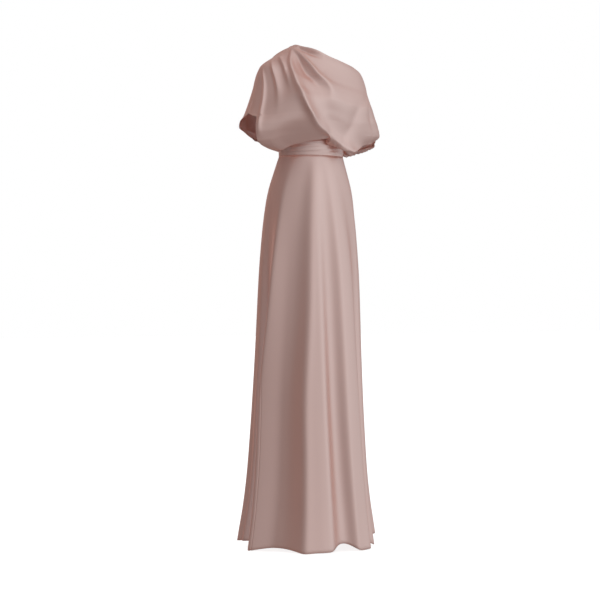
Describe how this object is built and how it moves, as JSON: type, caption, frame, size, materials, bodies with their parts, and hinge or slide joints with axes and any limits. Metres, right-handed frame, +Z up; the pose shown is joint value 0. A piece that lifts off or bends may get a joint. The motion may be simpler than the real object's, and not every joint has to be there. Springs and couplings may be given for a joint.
{
  "type": "asymmetric one-shoulder dress",
  "caption": "Long satin evening dress worn hollow, with a draped one-shoulder cape bodice, tucked waistband and flared skirt in soft folds.",
  "frame": {"origin": "where the dress lies on the wearer's covered right shoulder, on the arm line between front and back", "axes": "+Z up, the front faces -Y, the wearer's right is -X; the hem hangs 1.51 m below the origin"},
  "size_m": [0.5042, 0.4157, 1.5537],
  "materials": {
    "satin": "dusty rose satin with a soft sheen"
  },
  "bodies": {
    "root": {"bodice_front": "satin", "bodice_back": "satin", "waistband_front": "satin", "waistband_back": "satin", "skirt_front": "satin", "skirt_back": "satin"}
  },
  "joints": []
}
